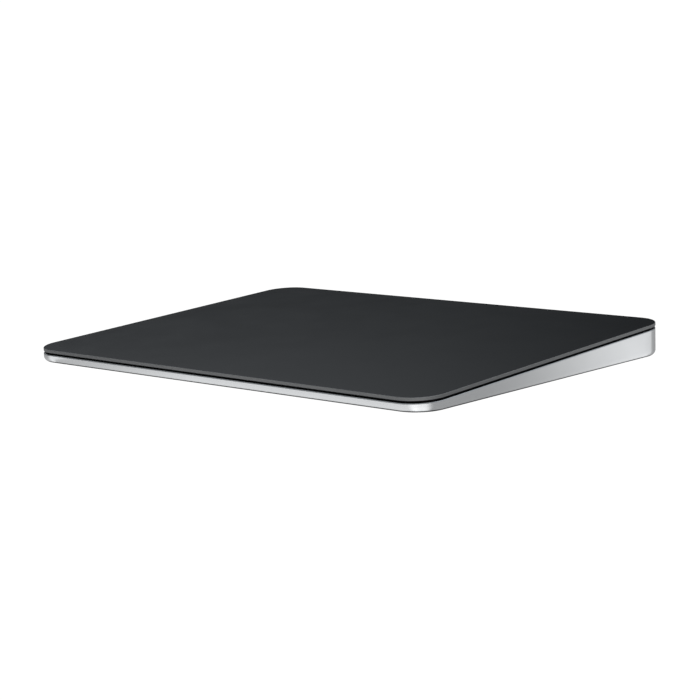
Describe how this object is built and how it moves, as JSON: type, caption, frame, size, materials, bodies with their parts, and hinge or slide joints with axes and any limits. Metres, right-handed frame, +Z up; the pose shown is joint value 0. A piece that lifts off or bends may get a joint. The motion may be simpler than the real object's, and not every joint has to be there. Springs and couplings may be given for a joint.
{
  "type": "trackpad",
  "caption": "Low wedge-shaped wireless trackpad: an aluminium tray with rounded corners under a floating black glass touch plate that senses force and shifts for haptic clicks.",
  "frame": {"origin": "middle of the footprint, on the surface that the feet stand on", "axes": "+X to the user's right, +Y from the low front edge to the tall rear edge, +Z up"},
  "size_m": [0.16, 0.115, 0.0109],
  "materials": {
    "aluminium": "fine bead-blasted and clear anodised",
    "black_glass": "satin-etched top, black-backed, ground edge",
    "foot_rubber": "matte moulded rubber",
    "white_tape": "adhesive film",
    "black_tape": "black adhesive film",
    "gasket_foam": "closed-cell foam",
    "spring_steel": "rolled spring sheet",
    "screw_steel": "black-plated",
    "amber_film": "flexible circuit film",
    "bracket_steel": "stamped sheet",
    "core_steel": "laminated electrical steel",
    "coil_copper": "enamelled copper winding",
    "cell_foil": "laminated pouch foil",
    "board_black": "black solder mask",
    "board_green": "green solder mask",
    "chip_resin": "moulded resin",
    "shield_steel": "tinned sheet",
    "connector_plastic": "moulded resin",
    "antenna_ceramic": "fired ceramic",
    "socket_steel": "drawn steel",
    "socket_plastic": "moulded resin",
    "contact_gold": "gold-plated",
    "switch_plastic": "fine-textured moulding",
    "switch_green": "coloured film",
    "gel": "soft silicone gel",
    "carrier_steel": "stamped stainless sheet"
  },
  "bodies": {
    "base": {"base_shell": "aluminium", "foot_front_left": "foot_rubber", "foot_front_right": "foot_rubber", "foot_rear_left": "foot_rubber", "foot_rear_right": "foot_rubber", "foot_adhesives": "white_tape", "battery_adhesives": "white_tape", "edge_gasket": "gasket_foam", "flexure_front_left": "spring_steel", "flexure_front_right": "spring_steel", "flexure_rear_left": "spring_steel", "flexure_rear_right": "spring_steel", "flexure_screws": "screw_steel", "actuator_screws": "screw_steel", "board_screws": "screw_steel", "port_screws": "screw_steel", "strain_gauge_left": "amber_film", "strain_gauge_right": "amber_film", "actuator_lead": "amber_film", "battery_lead": "amber_film", "sensor_ribbon": "amber_film", "actuator_bracket": "bracket_steel", "port_bracket": "bracket_steel", "actuator_core": "core_steel", "actuator_coil_1": "coil_copper", "actuator_coil_2": "coil_copper", "actuator_coil_3": "coil_copper", "actuator_coil_4": "coil_copper", "battery_cell": "cell_foil", "battery_protection_board": "board_black", "logic_board": "board_green", "processor_chip": "chip_resin", "gauge_amplifier_chip": "chip_resin", "charger_chip": "chip_resin", "switch_body": "chip_resin", "radio_shield": "shield_steel", "battery_connector": "connector_plastic", "board_connector": "connector_plastic", "antenna": "antenna_ceramic", "port_shell": "socket_steel", "port_tongue": "socket_plastic", "port_contacts": "contact_gold"},
    "suspension": {"gel_pad_front_left": "gel", "gel_pad_front_right": "gel", "gel_pad_rear_left": "gel", "gel_pad_rear_right": "gel"},
    "touch_plate": {"touch_glass": "black_glass", "glass_adhesive": "black_tape", "sensor_board": "board_black", "touch_controller_chip": "chip_resin", "sensor_connector": "connector_plastic", "carrier_adhesive": "white_tape", "carrier_plate": "carrier_steel", "armature": "core_steel", "armature_rivets": "bracket_steel"},
    "power_slider": {"switch_slider": "switch_plastic", "switch_indicator": "switch_green", "switch_lever": "socket_plastic"}
  },
  "joints": [
    {"name": "plate_press", "type": "slide", "parent": "base", "child": "suspension", "axis": [0, 0.0521, -0.9986], "range_m": [0, 0.0002], "stiffness_N_per_m": 20000, "springref_m": -0.00006, "deforming": ["flexure_front_left", "flexure_front_right", "flexure_rear_left", "flexure_rear_right", "edge_gasket", "sensor_ribbon"]},
    {"name": "haptic_shift", "type": "slide", "parent": "suspension", "child": "touch_plate", "axis": [0, 0.9986, 0.0521], "range_m": [-0.00015, 0.00015], "stiffness_N_per_m": 20000},
    {"name": "power_switch", "type": "slide", "parent": "base", "child": "power_slider", "axis": [1, 0, 0], "range_m": [-0.0024, 0]}
  ]
}
